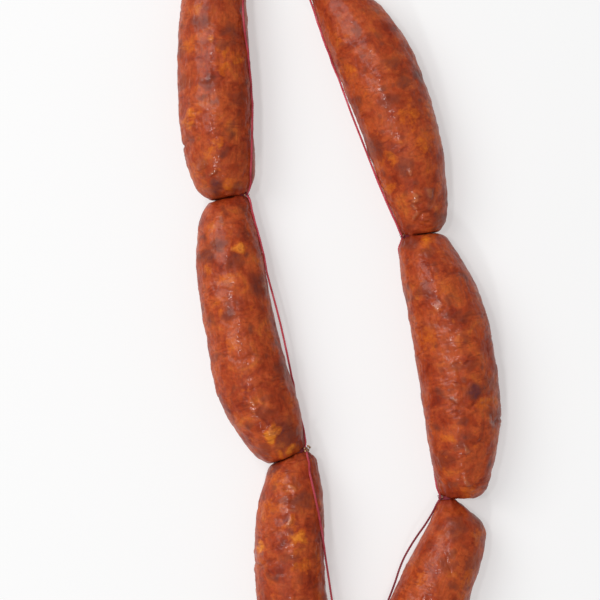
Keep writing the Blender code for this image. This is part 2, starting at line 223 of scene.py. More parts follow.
def meat_colour(tree, place, facts):
    """Brick-red paste with orange, yellow and purple-brown lumps in it."""
    wide = add(tree, "ShaderNodeTexNoise", {"Vector": place, "Scale": 1 / (1.5 * LUMP),
                                            "Detail": 3.0, "Roughness": 0.6,
                                            "Distortion": 0.6})
    grain = add(tree, "ShaderNodeTexNoise", {"Vector": place, "Scale": 1 / PASTE_GRAIN,
                                             "Detail": 3.0, "Roughness": 0.6})
    crumb = add(tree, "ShaderNodeTexNoise", {"Vector": place, "Scale": 1 / (2 * PASTE_GRAIN),
                                             "Detail": 2.0, "Roughness": 0.7})
    shade, fine, coarse, patches = (
        add(tree, "ShaderNodeMapRange", {"Value": level, **MIDDLE, "To Min": low,
                                         "To Max": high})
        for level, low, high in ((grain, 0.78, 1.18), (grain, -0.08, 0.08),
                                 (crumb, -0.20, 0.20), (crumb, 0.5, 0.9)))
    paste = set_stops(add(tree, "ShaderNodeValToRGB", (wide,)), PASTE_STOPS)[0]
    tone = add(tree, "ShaderNodeMix", {"Factor": 1.0, 6: paste, 7: shade}, data_type="RGBA",
               blend_type="MULTIPLY").outputs[2]
    ragged = add(tree, "ShaderNodeMath", (fine, coarse), operation="ADD")
    for near, shift, low, high, stops in (("lean_near", 37.0, 0.55, 0.82, LEAN_STOPS),
                                          ("fat_near", 23.0, 0.61, 0.98, FAT_STOPS)):
        # a lump shows where one is listed, or where the mince happens to hold one
        moved = add(tree, "ShaderNodeVectorMath", (place, (shift, shift, shift)),
                    operation="ADD")
        chance = add(tree, "ShaderNodeTexNoise", {"Vector": moved, "Scale": 1 / LUMP,
                                                  "Detail": 1.5, "Roughness": 0.5})
        found = add(tree, "ShaderNodeMapRange", {"Value": chance, "From Min": low,
                                                 "From Max": high})
        most = add(tree, "ShaderNodeMath", (found, facts[near]), operation="MAXIMUM")
        level = add(tree, "ShaderNodeMath", (most, ragged), operation="ADD")
        lump, cover = set_stops(add(tree, "ShaderNodeValToRGB", (level,)), stops)
        tone = add(tree, "ShaderNodeMix", {"Factor": cover, 6: tone, 7: lump},
                   data_type="RGBA").outputs[2]
    hard = add(tree, "ShaderNodeMapRange", {"Value": facts["knob"], "From Min": 0.5})
    pale = add(tree, "ShaderNodeMath", (hard, patches), operation="MULTIPLY")
    return add(tree, "ShaderNodeMix", {"Factor": pale, 6: tone, 7: colour("#c27a48")},
               data_type="RGBA").outputs[2]


print(f"lumps of {LUMP / MM:.1f} mm in a paste with grains of {PASTE_GRAIN / MM:.1f} mm")

# %% [markdown]
# Over the meat lies the film itself. Its colour carries painted shade: it is darker in the
# grooves and in the creases, and near the ties, where the casing is pinched into pleats and
# painted shade falls too. It is dry and brown at the two open ends. Dried casing scatters
# light broadly, and a thin uneven coat of grease adds small sharp glints, most of all on
# knobs, where the skin is stretched tight.

# %% Cured sausage casing
PORE = 0.5 * MM                 # finest texture of the dried film
SMEAR = 4.0 * MM                # size of a smear of grease


def casing_material():
    """Natural casing dried over the meat: broad soft shine, small greasy glints."""
    material, tree, shader = new_material("cured_sausage_casing")
    place = add(tree, "ShaderNodeTexCoord").outputs["Object"]
    facts = {name: add(tree, "ShaderNodeAttribute", attribute_name=name).outputs["Fac"]
             for name in ("fat_near", "lean_near", "knob", "groove", "tie_near", "crease",
                          "dried")}
    # painted shade: the depth of the grooves darkens the colour towards #6d200f
    groove_shade = add(tree, "ShaderNodeMath", (facts["groove"], 0.5), operation="MULTIPLY")
    # near a tie the colour darkens towards #7d2614: partly the pleated casing, partly painted
    # shade at the neck
    gathered_and_shaded = add(tree, "ShaderNodeMapRange", {"Value": facts["tie_near"], "From Min": 0.25,
                                                "From Max": 1.0, "To Max": 0.6})
    skin = meat_colour(tree, place, facts)
    # closeness to a neighbour's skin darkens the colour towards #64200f: painted shade in the
    # crease; the brown #7b4a22 at the open ends is dried casing
    for factor, hex_code in ((groove_shade, "#6d200f"), (gathered_and_shaded, "#7d2614"),
                             (facts["crease"], "#64200f"), (facts["dried"], "#7b4a22")):
        skin = add(tree, "ShaderNodeMix", {"Factor": factor, 6: skin, 7: colour(hex_code)},
                   data_type="RGBA").outputs[2]
    film = add(tree, "ShaderNodeTexNoise", {"Vector": place, "Scale": 1 / SMEAR,
                                            "Detail": 3.0})
    rough = add(tree, "ShaderNodeMapRange", {"Value": film, "From Min": 0.35,
                                             "From Max": 0.65, "To Min": 0.36, "To Max": 0.56})
    pores = add(tree, "ShaderNodeTexNoise", {"Vector": place, "Scale": 1 / PORE, "Detail": 2.0})
    dimples = add(tree, "ShaderNodeBump", {"Height": pores, "Strength": 0.6,
                                           "Distance": 0.15 * MM})
    grease = add(tree, "ShaderNodeBump", {"Height": film, "Strength": 0.4,
                                          "Distance": 0.2 * MM})
    stretched = add(tree, "ShaderNodeMapRange", {"Value": facts["knob"], "From Min": 0.1,
                                                 "From Max": 0.6, "To Min": 0.15,
                                                 "To Max": 0.7})
    fill(tree, shader, {
        "Base Color": skin, "Roughness": rough, "Normal": dimples,
        "Specular IOR Level": 0.18, "Subsurface Weight": 0.12,
        "Subsurface Radius": (1.0, 0.35, 0.2), "Subsurface Scale": 2.0 * MM,
        "Coat Normal": grease, "Coat Weight": stretched, "Coat Roughness": 0.13})
    return material


casing = casing_material()
print("material", casing.name, "with", len(casing.node_tree.nodes), "nodes")

# %% [markdown]
# ## Relief under the casing
#
# A dried link is never smooth. Lumps of the mince push the skin out, smaller grains pebble
# it, and where the meat has shrunk more than the casing, fine wrinkles cross the link. At
# each tie the casing is gathered into pleats that run out over the dome. This follows the
# surface everywhere by the same rule, so it is one Geometry Nodes tree, run on every link
# with its own seed. The tree first eases the facets of the solid away.


# %% Height of the skin, step by step
# each row is a result, an operation, and the numbers or earlier results that go into it
RELIEF_STEPS = [("lump", "SUBTRACT", "lump noise", 0.5),
                ("lumps", "MULTIPLY", "lump", "Lump Height"),
                ("pebble", "SUBTRACT", "pebble noise", 0.5),
                ("pebbles", "MULTIPLY", "pebble", "Pebble Height")]
for way, sharpness in (("across", 0.035), ("along", 0.05)):
    RELIEF_STEPS += [("off line", "SUBTRACT", f"{way} noise", 0.5),
                     ("off line", "ABSOLUTE", "off line"),
                     ("off line", "DIVIDE", "off line", sharpness),
                     ("off line", "MINIMUM", 1.0, "off line"),
                     (f"{way} valleys", "SUBTRACT", 1.0, "off line")]
RELIEF_STEPS += [("across", "MULTIPLY", "across valleys", "patchy"),
                 ("bare", "SUBTRACT", 1.0, "patchy"),
                 ("along", "MULTIPLY", "along valleys", "bare"),
                 ("groove", "MULTIPLY_ADD", "along", 0.5, "across"),
                 ("wrinkle", "MULTIPLY", "Wrinkle Depth", -1.0),
                 ("wrinkles", "MULTIPLY", "groove", "wrinkle"),
                 ("waver", "MULTIPLY", "patch noise", 9.0),
                 ("turn", "MULTIPLY_ADD", "tie_turn", "Pleats", "waver"),
                 ("wave", "SINE", "turn"),
                 ("pleat", "MULTIPLY", "wave", "tie_near"),
                 ("pleats", "MULTIPLY", "pleat", "Pleat Height"),
                 ("knobs", "MULTIPLY", "knob", "Knob Height"),
                 ("fold down", "MULTIPLY", "Fold Depth", -1.0),
                 ("folds", "MULTIPLY", "fold", "fold down"),
                 ("by hand", "ADD", "knobs", "folds"),
                 ("bumps", "ADD", "lumps", "pebbles"),
                 ("lines", "ADD", "wrinkles", "pleats"),
                 ("by chance", "ADD", "bumps", "lines"),
                 ("height", "ADD", "by chance", "by hand"),
                 ("swollen", "ADD", "height", "Swell"),
                 ("free", "SUBTRACT", 1.0, "crease"),
                 ("total", "MULTIPLY", "swollen", "free"),
                 ("grooves", "MULTIPLY_ADD", "fold", 0.8, "groove")]
print("the skin's height takes", len(RELIEF_STEPS), "steps")

# %% [markdown]
# The tree makes the noises that these steps start from, runs the steps, and moves every
# point along its normal by the height. It also keeps the depth of the grooves for the
# material, which paints shade into them.


# %% Relief tree
def relief_tree():
    """Ease a link's mesh and raise its skin into lumps, wrinkles, pleats and knobs."""
    sizes = ("Swell", "Lump Size", "Lump Height", "Pebble Size", "Pebble Height",
             "Wrinkle Spacing", "Wrinkle Depth", "Pleats", "Pleat Height", "Knob Height",
             "Fold Depth", "Seed")
    tree, inputs = new_tree("casing_relief", {"Easing": "Int",
                                              **dict.fromkeys(sizes, "Float")})
    parts = {size: inputs[size] for size in sizes}
    for name in ("tie_near", "tie_turn", "crease", "knob", "fold"):
        parts[name] = add(tree, "GeometryNodeInputNamedAttribute", {"Name": name},
                          data_type="FLOAT")
    straight, press = (
        add(tree, "GeometryNodeInputNamedAttribute", {"Name": name},
            data_type="FLOAT_VECTOR") for name in ("straight", "press"))
    position = add(tree, "GeometryNodeInputPosition")
    eased = add(tree, "GeometryNodeBlurAttribute",
                {"Value": position, "Iterations": inputs["Easing"]}, data_type="FLOAT_VECTOR")
    smooth = add(tree, "GeometryNodeSetPosition", {"Geometry": inputs["Geometry"],
                                                   "Position": eased})
    shift = add(tree, "ShaderNodeCombineXYZ", (inputs["Seed"], inputs["Seed"]))
    shifted = add(tree, "ShaderNodeVectorMath", (position, shift), operation="ADD")
    # wrinkles are noise drawn out along the directions that these factors make small
    round_it, along_it = (
        add(tree, "ShaderNodeVectorMath", (straight, stretch), operation="MULTIPLY")
        for stretch in ((1.0, 0.22, 0.22), (0.12, 1.0, 1.0)))
    for name, vector, size, detail in (
            ("lump noise", shifted, "Lump Size", 1.0),
            ("pebble noise", shifted, "Pebble Size", 2.0),
            ("patch noise", shifted, "Lump Size", 0.0),
            ("across noise", round_it, "Wrinkle Spacing", 1.5),
            ("along noise", along_it, "Wrinkle Spacing", 1.5)):
        scale = add(tree, "ShaderNodeMath", (1.0, inputs[size]), operation="DIVIDE")
        parts[name] = add(tree, "ShaderNodeTexNoise", {"Vector": vector, "Scale": scale,
                                                       "Detail": detail, "Roughness": 0.55})
    parts["patchy"] = add(tree, "ShaderNodeMapRange", {"Value": parts["patch noise"],
                                                       "From Min": 0.42, "From Max": 0.62})
    for result, operation, *values in RELIEF_STEPS:
        parts[result] = add(tree, "ShaderNodeMath", [parts.get(v, v) for v in values],
                            operation=operation)
    normal = add(tree, "GeometryNodeInputNormal")
    offset = add(tree, "ShaderNodeVectorMath", {0: normal, "Scale": parts["total"]},
                 operation="SCALE")
    pushed = add(tree, "ShaderNodeVectorMath", (offset, press), operation="ADD")
    raised = add(tree, "GeometryNodeSetPosition", {"Geometry": smooth, "Offset": pushed})
    kept = add(tree, "GeometryNodeStoreNamedAttribute",
               {"Geometry": raised, "Name": "groove", "Value": parts["grooves"]},
               data_type="FLOAT", domain="POINT")
    return close_tree(tree, inputs, kept)


RELIEF = relief_tree()

# %% [markdown]
# ## Ties and links
#
# Everything on the ring is placed from its seven ties. Each link lies between two of them.
# Of each tie the script knows which way the crease between its links points out of the
# ring, in degrees, and how far the pinched neck lies behind the string of twine.

# %% Where the ties are
Tie = namedtuple("Tie", "crease inset")
TIES = {
    "tie_1": Tie(182.0, 3.0 * MM), "tie_2": Tie(192.5, 2.2 * MM),
    "tie_3": Tie(205.0, 2.2 * MM), "tie_4": Tie(262.0, 2.2 * MM),
    "tie_5": Tie(0.0, 1.4 * MM), "tie_6": Tie(6.5, 2.2 * MM), "tie_7": Tie(21.0, 3.0 * MM),
}
LINK_ENDS = {
    "link_1": ("tie_1", "tie_2"), "link_2": ("tie_2", "tie_3"), "link_3": ("tie_3", "tie_4"),
    "link_4": ("tie_5", "tie_4"), "link_5": ("tie_6", "tie_5"), "link_6": ("tie_7", "tie_6"),
}
FREE_TIES = ("tie_1", "tie_7")  # these two close the ends of the casing


def unit(angle):
    """Unit vector in the ground plane."""
    return Vector((math.cos(math.radians(angle)), math.sin(math.radians(angle)), 0.0))


def middle_of(node):
    """The middle of a node's box."""
    low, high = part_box(node)
    return (low + high) / 2


def neck(tie):
    """The middle of a tie, where the casing is pinched to a neck."""
    return middle_of(tie)


def string_point(tie):
    """Where the straight string of twine would cross a tie."""
    return neck(tie) - unit(TIES[tie].crease) * TIES[tie].inset


for name in TIES:
    print(name, "lies at", [round(c / MM, 1) for c in neck(name)], "mm")

# %% [markdown]
# ## A fine mesh for each link
#
# The relief needs points about half a millimetre apart, all over. The solid has long
# facets instead, so a copy of it is turned back into four-sided faces, subdivided smooth,
# and then remeshed evenly.

# %% Fine links
VOXEL = 0.5 * MM


class SideLine:
    """A straight line beside a link, with the way out of the ring as its side."""

    def __init__(self, start, end, belly):
        self.start = start
        self.length = (end - start).length
        self.down = (end - start).normalized()
        side = Vector((self.down.y, -self.down.x, 0.0))
        self.out = side if side.dot(belly - start) > 0 else -side

    def place(self, share, outside, height):
        """A place at a share of the line, some way outside it and above the table."""
        spot = self.start + self.down * share * self.length + self.out * outside
        return Vector((spot.x, spot.y, height))

    def measure(self, points):
        """How far along the line and how far outside it each point of an array lies."""
        offset = points - np.array(self.start)
        return offset @ np.array(self.down), offset @ np.array(self.out)


def fine_copy(node, name):
    """A smooth, evenly meshed copy of a solid."""
    shape = bmesh.new()
    shape.from_mesh(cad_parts[node].data)
    bmesh.ops.remove_doubles(shape, verts=shape.verts, dist=0.001 * MM)
    bmesh.ops.join_triangles(shape, faces=shape.faces, angle_face_threshold=math.radians(60),
                             angle_shape_threshold=math.radians(60))
    mesh = bpy.data.meshes.new(name)
    shape.to_mesh(mesh)
    shape.free()
    obj = bpy.data.objects.new(name, mesh)
    bpy.context.scene.collection.objects.link(obj)
    rounder = obj.modifiers.new("round", "SUBSURF")
    rounder.levels = rounder.render_levels = 2
    even = obj.modifiers.new("even", "REMESH")
    even.mode = "VOXEL"
    even.voxel_size = VOXEL
    return keep_evaluated(obj)


print(f"a fine mesh has a point every {VOXEL / MM:.1f} mm")

# %% [markdown]
# Each point of a link learns a few things about where it is: its place on a straightened
# link, so wrinkles can run round it, how close the nearest tie is and on which side of it
# the point lies, and how close the neighbouring link's skin is. They are kept as named
# attributes, which both the relief tree and the materials read.
#
# Most of this fades in and out softly. One function makes a soft step, and another makes a
# soft window out of two steps.


# %% Soft steps
def smoothstep(low, high, value):
    """0 up to low, 1 from high, and a soft slope between them."""
    t = np.clip((value - low) / (high - low), 0.0, 1.0)
    return t * t * (3.0 - 2.0 * t)


def window(low, full, fading, high, value):
    """1 from full to fading, 0 below low and above high, and soft slopes between them."""
    return smoothstep(low, full, value) * (1.0 - smoothstep(fading, high, value))


print("halfway up a soft slope is", float(smoothstep(0.0, 1.0, 0.5)))


# %% What a point knows
TIE_REACH = 15.0 * MM           # a tie is felt this far away
TIE_FULL = 2.5 * MM             # and fully up to here
STATION = 3.0 * MM              # spacing of the places that a link's middle is measured at
OVERHANG = 8.0 * MM             # how far those places run past the ties


def store(obj, name, values):
    """Keep one number or one vector for each point of a mesh."""
    values = np.ascontiguousarray(values, np.float32)
    kind, key = ("FLOAT_VECTOR", "vector") if values.ndim > 1 else ("FLOAT", "value")
    obj.data.attributes.new(name, kind, "POINT").data.foreach_set(key, values.ravel())


def point_array(obj):
    """The points of a mesh, one row for each."""
    points = np.zeros(len(obj.data.vertices) * 3, np.float32)
    obj.data.vertices.foreach_get("co", points)
    return points.reshape(-1, 3).astype(float)


def straighten(points, head, foot):
    """Places on a link pulled straight: along it, across it and up, from its middle line."""
    run = np.array(foot - head)
    length = float(np.linalg.norm(run))
    down = run / length
    along = (points - np.array(head)) @ down
    stations = np.arange(-OVERHANG, length + OVERHANG, STATION)
    slot = np.clip(np.searchsorted(stations, along), 0, len(stations) - 1)
    count = np.bincount(slot, minlength=len(stations))
    filled = count > 0
    middle = np.stack([
        np.interp(along, stations[filled],
                  np.bincount(slot, points[:, axis], len(stations))[filled] / count[filled])
        for axis in range(3)], axis=1)
    side = np.array((-down[1], down[0], 0.0))
    offset = points - middle
    return np.stack((along, offset @ side, offset[:, 2]), axis=1)


def tie_facts(points, ties, middle):
    """Closeness to the nearest tie, from 0 to 1, and the turn round its axis."""
    near = np.zeros(len(points))
    turn = np.zeros(len(points))
    for tie in ties:
        centre = np.array(neck(tie))
        offset = points - centre
        closeness = 1.0 - smoothstep(TIE_FULL, TIE_REACH, np.linalg.norm(offset, axis=1))
        axis = np.array(middle) - centre
        axis[2] = 0.0
        axis /= np.linalg.norm(axis)
        across = offset @ np.array((-axis[1], axis[0], 0.0))
        closer = closeness > near
        near[closer] = closeness[closer]
        turn[closer] = np.arctan2(offset[:, 2], across)[closer]
    return near, turn


print(f"each tie is felt up to {TIE_REACH / MM:.0f} mm away")

# %% [markdown]
# Two links of one string press against each other next to their tie. Where the skins meet
# there is a dark, closed crease, and on the inner side the twine lies across a small filled
# corner. The solids leave a hair's gap there, so points near it are pushed: towards the
# neighbour to shut the crease, and towards the twine to fill the corner. A few corners of
# the ring are fuller than the rest.

# %% Creases and corners
# in the casing material this closeness becomes painted shade in the crease
CREASE_REACH = 2.4 * MM         # skins closer than this darken towards each other
CREASE_SHUT = 0.45 * MM         # each skin moves this far to meet its neighbour's
NOTCH_SHUT = 0.75 * MM          # and this much further round the tie
Corner = namedtuple("Corner", "fill reach")
CORNER = Corner(0.8 * MM, 9.0 * MM)     # how far the corner beside the twine is filled out
FULLER_CORNERS = {
    ("tie_2", "link_1"): Corner(1.3 * MM, 20.0 * MM),
    ("tie_2", "link_2"): Corner(1.5 * MM, 9.0 * MM),
    ("tie_3", "link_3"): Corner(1.7 * MM, 14.0 * MM),
    ("tie_3", "link_2"): Corner(1.4 * MM, 7.0 * MM),
}


def surface_of(mesh):
    """A mesh's surface, to measure distances to and to cast rays at."""
    return BVHTree.FromPolygons([v.co for v in mesh.vertices],
                                [p.vertices[:] for p in mesh.polygons])


def crease_facts(points, name, skins):
    """How close a neighbour's skin is, from 1 where they touch to 0."""
    gaps = np.full(len(points), CREASE_REACH)
    for other, skin in skins.items():
        if other == name:
            continue
        for index, point in enumerate(points):
            found = skin.find_nearest(Vector(point), CREASE_REACH)
            if found[0] is not None and found[3] < gaps[index]:
                gaps[index] = found[3]
    return 1.0 - smoothstep(0.3 * MM, CREASE_REACH, gaps)


def press_facts(points, name, ties, middle):
    """How each point moves so that creases shut and no gap is left beside the twine."""
    moves = np.zeros_like(points)
    for tie in ties:
        if tie in FREE_TIES:
            continue
        out = np.array(unit(TIES[tie].crease))
        axis = np.array((-out[1], out[0], 0.0))
        axis *= np.sign(axis @ np.array(middle - neck(tie)))
        offset = points - np.array(neck(tie))
        along = offset @ axis
        outside = offset @ out
        away = np.linalg.norm(offset - along[:, None] * axis, axis=1)
        low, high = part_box(tie)
        rim = (high.z - low.z) / 2
        notch = window(0.7 * rim, 1.1 * rim, 4.0 * MM, 5.5 * MM, away)
        shut = (CREASE_SHUT + NOTCH_SHUT * notch) * (1.0 - smoothstep(0.4 * MM, 5.0 * MM, along))
        shut = np.clip(np.minimum(shut, along - 0.05 * MM), 0.0, None)
        corner = FULLER_CORNERS.get((tie, name), CORNER)
        beside = window(0.2 * MM, 1.0 * MM, 0.3 * corner.reach, corner.reach, along)
        inner = smoothstep(-1.0 * MM, 2.5 * MM, -outside)
        level = 1.0 - smoothstep(3.0 * MM, 9.0 * MM, np.abs(offset[:, 2]))
        fill_out = corner.fill * beside * inner * level
        moves -= shut[:, None] * axis + fill_out[:, None] * out
    return moves


skins = {name: surface_of(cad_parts[name].data) for name in LINK_ENDS}
print("skins to measure against:", len(skins))

# %% [markdown]
# ## Lumps that catch the eye
#
# Most of the mottling is left to chance, in the material. A few lumps of fat and lean stand
# out on the upper side, and those are placed one by one. Each row holds the share of the way
# from the link's head tie to its foot tie, and then, in mm, a distance outwards from the line
# between the ties, a length and a width. Last comes the strength: 1 is yellow back fat, and
# about a half is fat that the paprika has stained orange.

# %% Lumps placed one by one
Lump = namedtuple("Lump", "share out long wide strength")
FAT = {
    "link_1": ((0.27, 17, 6, 6, 0.5), (0.41, 21, 9, 8, 0.45), (0.40, 11, 4, 4, 0.75),
               (0.45, 4, 4, 3, 0.7), (0.47, -2, 5, 5, 0.6), (0.51, 5, 6, 6, 0.5),
               (0.68, 21, 5, 5, 0.7), (0.72, 23, 5, 5, 0.65), (0.80, 9, 5, 6, 0.55),
               (0.83, 13, 4, 5, 0.65), (0.90, 21, 7, 9, 0.45), (0.96, 5, 5, 6, 0.5)),
    "link_2": ((0.20, 6, 5, 6, 1), (0.25, 23, 4, 4, 0.6), (0.30, 15, 5, 9, 0.55),
               (0.38, 20, 3, 4, 0.5), (0.54, 19, 9, 7, 0.5), (0.89, 9, 5, 5, 0.8),
               (0.915, 12, 6, 5, 1.3), (0.98, 3.5, 5, 5, 1), (0.99, 9, 3, 4, 0.6)),
    "link_3": ((0.08, 12, 7, 9, 0.45), (0.18, 18, 7, 12, 0.45), (0.24, 10, 6, 7, 0.6),
               (0.31, 25, 5, 5, 1), (0.295, 7, 6, 8, 1), (0.40, 7, 7, 8, 0.6)),
    "link_4": ((0.08, 21, 9, 8, 0.45), (0.25, 24, 9, 7, 0.45), (0.33, 4, 7, 6, 0.5)),
    "link_5": ((0.03, 7, 5, 8, 0.65), (0.20, 10, 16, 9, 0.2), (0.39, 1, 12, 9, 0.45),
               (0.66, 21, 5, 8, 0.5), (0.77, 4, 6, 6, 0.7), (0.97, 11, 5, 7, 0.5)),
    "link_6": ((0.34, 2, 6, 6, 0.55), (0.58, 19, 9, 11, 0.5), (0.70, 22, 9, 8, 0.5),
               (0.71, 5, 6, 7, 0.5), (0.71, -2, 7, 5, 0.45), (0.81, -1, 5, 6, 0.65)),
}
LEAN = {
    "link_1": ((0.32, 15, 8, 8, 0.7), (0.36, 2, 6, 9, 0.7), (0.42, 5, 5, 7, 0.6),
               (0.42, 25, 8, 5, 0.6), (0.55, 24, 8, 7, 0.5), (0.57, 13, 6, 9, 0.6),
               (0.63, -1, 8, 8, 0.5), (0.88, 17, 8, 8, 0.4), (0.97, 11, 7, 8, 0.8)),
    "link_2": ((0.17, 15, 6, 8, 0.8), (0.20, 22, 8, 8, 0.8), (0.24, 9, 7, 9, 0.7),
               (0.35, 1, 12, 9, 0.7), (0.43, 18, 6, 7, 0.7), (0.68, -1, 9, 8, 0.6),
               (0.82, 12, 7, 12, 0.5), (0.92, 4, 16, 13, 0.75), (0.96, 17, 6, 9, 0.6)),
    "link_3": ((0.04, 15, 6, 8, 0.8), (0.16, 12, 4, 6, 0.6), (0.17, 2, 9, 10, 0.7),
               (0.36, 11, 5, 9, 0.6)),
    "link_4": ((0.03, 18, 7, 9, 0.6), (0.09, 9, 11, 10, 0.6), (0.19, 23, 9, 9, 0.5),
               (0.23, 12, 8, 9, 0.5)),
    "link_5": ((0.03, 0, 6, 6, 0.7), (0.07, 7, 6, 7, 0.5), (0.21, 2, 8, 8, 0.6),
               (0.33, 18, 5, 10, 0.6), (0.35, 2, 6, 9, 0.4), (0.42, 13, 5, 10, 0.3),
               (0.51, 16, 5, 13, 0.5), (0.59, 28, 8, 8, 0.5), (0.61, 19, 7, 10, 1),
               (0.72, 29, 9, 8, 0.5), (0.77, 12, 5, 7, 0.4), (0.80, 9, 5, 7, 0.6),
               (0.85, 1, 8, 9, 0.5)),
    "link_6": ((0.38, 21, 6, 8, 0.6), (0.46, 23, 6, 7, 0.7), (0.46, 32, 8, 5, 0.7),
               (0.47, -1, 6, 6, 0.6), (0.51, 13, 7, 10, 0.6), (0.65, -1, 12, 8, 0.7),
               (0.76, 9, 10, 8, 0.6), (0.89, 15, 7, 7, 0.6), (0.99, 17, 8, 8, 0.6)),
}
print(sum(map(len, FAT.values())), "lumps of fat,", sum(map(len, LEAN.values())), "of lean")

# %% [markdown]
# A knob is a small hard piece of gristle or fat that the shrinking skin is stretched over, so
# it stands up and shines, and a strong one looks paler than the paste. A fold is a short deep
# crease across a link, where the casing gave way while it dried. A fold has the share of the
# way, the distances outwards between which it runs, its depth, and its lean: how far it moves
# along the link for each mm outwards.

# %% Knobs and folds
KNOBS = {
    "link_1": ((0.55, 13, 4, 4, 0.4), (0.91, 12, 4, 4, 0.7), (0.88, 17, 4, 3, 0.5)),
    "link_2": ((0.20, 6, 4, 4, 0.5), (0.77, 17, 4, 3, 0.7), (0.80, 16, 3, 3, 0.6),
               (0.90, 10, 5, 4, 0.6), (0.62, 9, 3, 3, 0.5)),
    "link_3": ((0.12, 6, 4, 3, 0.7), (0.15, 9, 3, 3, 0.4), (0.195, 7.5, 4, 4, 0.6),
               (0.24, 10, 5, 4, 0.85), (0.34, 26, 4, 4, 0.6)),
    "link_4": ((0.18, 12, 4, 4, 0.5), (0.40, 9, 4, 3, 0.6), (0.45, 12, 3, 3, 0.6)),
    "link_5": ((0.28, 7.5, 5, 4, 0.7), (0.58, 12, 3, 4, 0.6), (0.63, 10, 3, 4, 0.6),
               (0.82, 11, 3, 3, 0.7), (0.94, 9, 5, 4, 0.7), (0.73, 24, 4, 4, 0.6)),
    "link_6": ((0.875, 8.5, 4, 4, 0.75), (0.905, 7, 3, 3, 0.7), (0.935, 5.5, 4, 3, 0.7),
               (0.88, 15, 4, 4, 0.7), (0.92, 14, 3, 3, 0.6), (0.79, 11, 3, 3, 0.7),
               (0.97, 9, 3, 3, 0.5)),
}
Fold = namedtuple("Fold", "share out_from out_to depth lean")
FOLDS = {
    "link_1": ((0.79, 19, 30, 0.7, 0.1), (0.70, 4, 13, 0.3, -0.2)),
    "link_2": ((0.60, 4, 20, 0.3, 0.1), (0.72, 3, 16, 0.3, -0.1)),
    "link_3": ((0.37, 17, 32, 0.8, 0.1), (0.12, 4, 12, 0.5, 0.4), (0.19, 5, 12, 0.5, 0.3)),
    "link_4": ((0.24, 9, 19, 0.4, 0.9), (0.47, 5, 20, 0.3, 0.0)),
    "link_5": ((0.57, 4, 26, 0.4, 0.1), (0.66, 4, 30, 0.5, 0.05), (0.69, 6, 28, 0.4, 0.1),
               (0.73, 22, 38, 0.6, 0.0), (0.80, 12, 24, 0.5, 0.3), (0.50, 8, 24, 0.3, 0.1)),
    "link_6": ((0.86, 10, 18, 0.4, 0.3), (0.95, 4, 14, 0.5, -0.3), (0.80, 12, 20, 0.3, 0.2)),
}
print(sum(map(len, KNOBS.values())), "knobs,", sum(map(len, FOLDS.values())), "folds")

# %% [markdown]
# Two functions turn these lists into one number for each point of a link. The places are
# bent by sine waves first, so that no lump comes out round and no fold comes out straight.


# %% Lumps and folds on a mesh
FOLD_END = 4                    # mm in which a fold runs out at each end
FOLD_WIDTH = 0.8 * MM           # half a fold's width


def fold_facts(points, line, folds):
    """How deep each point of a link's upper side lies in a fold across the link."""
    along, out = line.measure(points)
    waver = 0.7 * MM * np.sin(out / (1.9 * MM)) + 0.4 * MM * np.sin(out / (0.8 * MM))
    above = smoothstep(6.0 * MM, 12.0 * MM, points[:, 2])
    deepest = np.zeros(len(points))
    for fold in map(Fold._make, folds):
        middle = (fold.out_from + fold.out_to) / 2 * MM
        off = along - fold.share * line.length - fold.lean * (out - middle) - waver
        ends = window(fold.out_from * MM, (fold.out_from + FOLD_END) * MM,
                      (fold.out_to - FOLD_END) * MM, fold.out_to * MM, out)
        trough = np.exp(-(off / FOLD_WIDTH)**2)
        deepest = np.maximum(deepest, fold.depth * ends * above * trough)
    return deepest


def lump_facts(points, line, lumps):
    """The strongest nearby lump for every point of a link's upper side."""
    along, out = line.measure(points)
    wander = 0.9 * MM * np.sin(out / (1.2 * MM) + 2.0 * np.sin(along / (2.1 * MM)))
    out = out + 0.9 * MM * np.sin(along / (1.4 * MM) + 2.0 * np.sin(out / (2.6 * MM)))
    along = along + wander
    above = smoothstep(9.0 * MM, 15.0 * MM, points[:, 2])
    strongest = np.zeros(len(points))
    for lump in map(Lump._make, lumps):
        reach = np.hypot((along - lump.share * line.length) / (lump.long * MM),
                         (out - lump.out * MM) / (lump.wide * MM))
        closeness = lump.strength * (1.0 - smoothstep(0.2, 0.85, reach))
        strongest = np.maximum(strongest, closeness * above)
    return strongest


for name, (head, foot) in LINK_ENDS.items():
    print(f"{name} runs {(neck(foot) - neck(head)).length / MM:.1f} mm from tie to tie")

# %% [markdown]
# ## The links
#
# Now the six links are made in one loop, each with its own seed, so no two have the same
# lumps. The two ends of the casing stick out past their ties and have dried brown. The
# finished mesh stands for its solid, which is then hidden.

# %% Make the links
WRINKLES = {"link_1": 0.22, "link_2": 0.20, "link_3": 0.22, "link_4": 0.16, "link_5": 0.26,
            "link_6": 0.14}     # depth in mm
PEBBLES = {"link_1": 0.6, "link_2": 0.7, "link_3": 0.8, "link_4": 0.6, "link_5": 0.7,
           "link_6": 0.6}       # height in mm


def dried_facts(points, name, ties):
    """How dry each point is: 1 at a free end of the casing, 0 on the link."""
    dried = np.zeros(len(points))
    for tie, other_tie in (ties, ties[::-1]):
        if tie not in FREE_TIES:
            continue
        tip = SideLine(neck(tie), neck(other_tie), middle_of(name))
        along, _ = tip.measure(points)
        offset = points - np.array(neck(tie))
        away = np.linalg.norm(offset - along[:, None] * np.array(tip.down), axis=1)
        dried = np.maximum(dried, (1.0 - smoothstep(-1.0 * MM, 2.5 * MM, along))
                           * (1.0 - smoothstep(2.5 * MM, 6.0 * MM, away)))
    return dried


